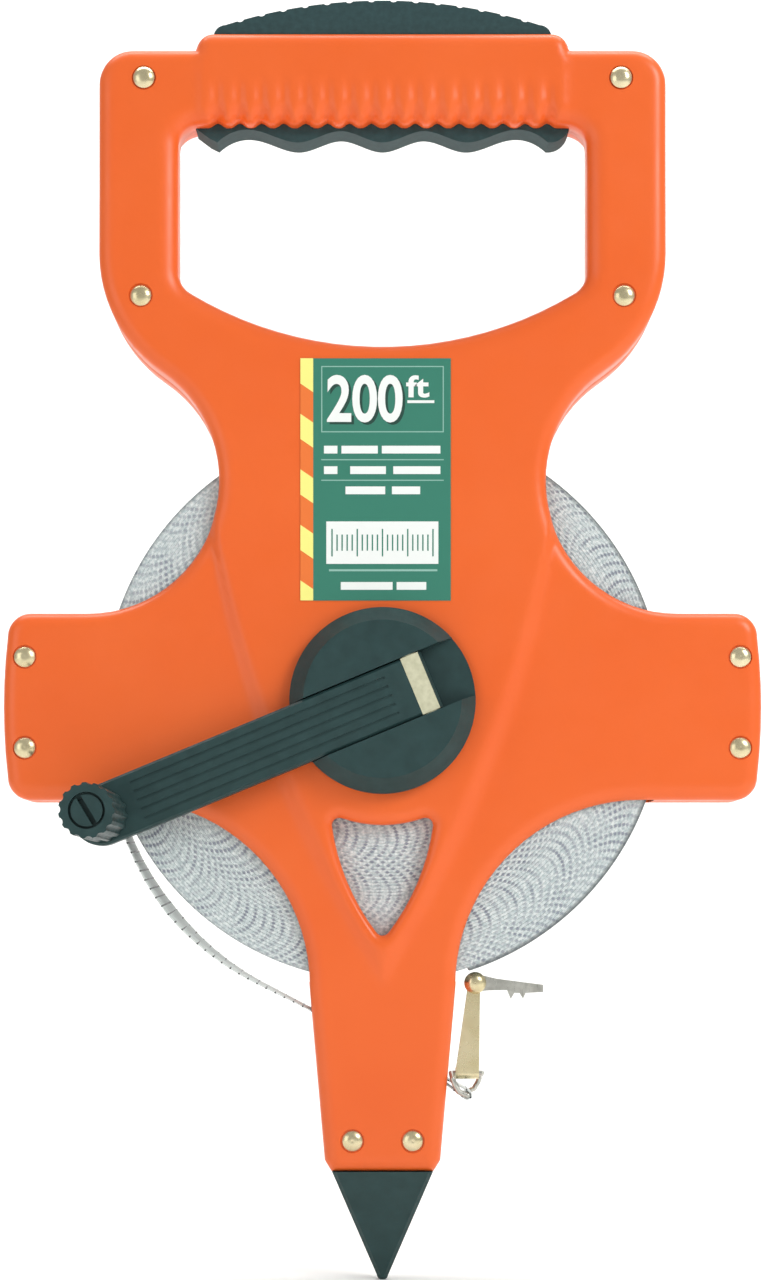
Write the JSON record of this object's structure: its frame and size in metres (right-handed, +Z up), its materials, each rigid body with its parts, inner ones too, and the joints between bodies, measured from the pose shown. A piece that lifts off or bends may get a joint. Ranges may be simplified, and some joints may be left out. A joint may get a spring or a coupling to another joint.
{
  "type": "surveyor tape reel",
  "caption": "Open-frame hand reel for a surveyor's measuring tape, with a rubber-gripped handle, folding crank, ground spike and hinged end hook.",
  "frame": {"origin": "point of the ground spike", "axes": "+Z up along the frame from the spike to the handle, +X to the right as the crank side is faced, +Y from the crank side to the back; the frame halves part at y = 0"},
  "size_m": [0.2268, 0.068, 0.3829],
  "materials": {
    "frame_orange": "injection-moulded ABS, satin gloss",
    "grip_rubber": "moulded soft rubber, matt",
    "dark_plastic": "glass-filled nylon, fine grain",
    "rivet_metal": "pale plated brass, polished by the rivet set",
    "label_film": "printed vinyl film",
    "tape_white": "white coated glass-fibre tape",
    "steel": "bright zinc-plated steel",
    "washer_nylon": "punched nylon sheet",
    "hook_plated": "pale brass-plated sheet steel"
  },
  "bodies": {
    "frame": {"front_frame": "frame_orange", "rear_frame": "frame_orange", "handle_grip": "grip_rubber", "ground_spike": "dark_plastic", "handle_rivets": "rivet_metal", "arm_rivets": "rivet_metal", "spike_rivets": "rivet_metal", "label_plate": "label_film", "tape_tail": "tape_white"},
    "reel": {"drum": "dark_plastic", "tape_pack": "tape_white", "tape_anchor_pin": "steel", "winding_disc": "dark_plastic", "rear_cap": "dark_plastic", "axle_bolt": "steel", "axle_insert": "rivet_metal", "front_washer": "washer_nylon", "rear_washer": "washer_nylon", "detent_spring": "steel"},
    "crank": {"crank_arm": "dark_plastic", "knob_post": "dark_plastic", "hinge_pin": "steel"},
    "knob": {"crank_knob": "dark_plastic"},
    "ring": {"hook_ring": "steel"},
    "hook": {"hook_plate": "hook_plated", "hook_rivet": "hook_plated"},
    "claw": {"hook_claw": "steel"}
  },
  "joints": [
    {"name": "reel_spin", "type": "hinge", "parent": "frame", "child": "reel", "pos_m": [0, 0, 0.1735], "axis": [0, 1, 0], "continuous": true},
    {"name": "crank_fold", "type": "hinge", "parent": "reel", "child": "crank", "pos_m": [0.01109, -0.0172, 0.17809], "axis": [-0.3827, 0, 0.9239], "range_deg": [0, 180]},
    {"name": "knob_spin", "type": "hinge", "parent": "crank", "child": "knob", "pos_m": [-0.08278, -0.038, 0.13921], "axis": [0, 1, 0], "continuous": true},
    {"name": "ring_swing", "type": "hinge", "parent": "frame", "child": "ring", "pos_m": [0.0254, 0, 0.056], "axis": [0, 1, 0], "range_deg": [0, 135]},
    {"name": "hook_tilt", "type": "hinge", "parent": "ring", "child": "hook", "pos_m": [0.02555, 0, 0.0622], "axis": [1, 0, 0], "range_deg": [-45, 45]},
    {"name": "claw_swing", "type": "hinge", "parent": "hook", "child": "claw", "pos_m": [0.0279, 0, 0.0895], "axis": [0, 1, 0], "range_deg": [-20, 80]}
  ]
}
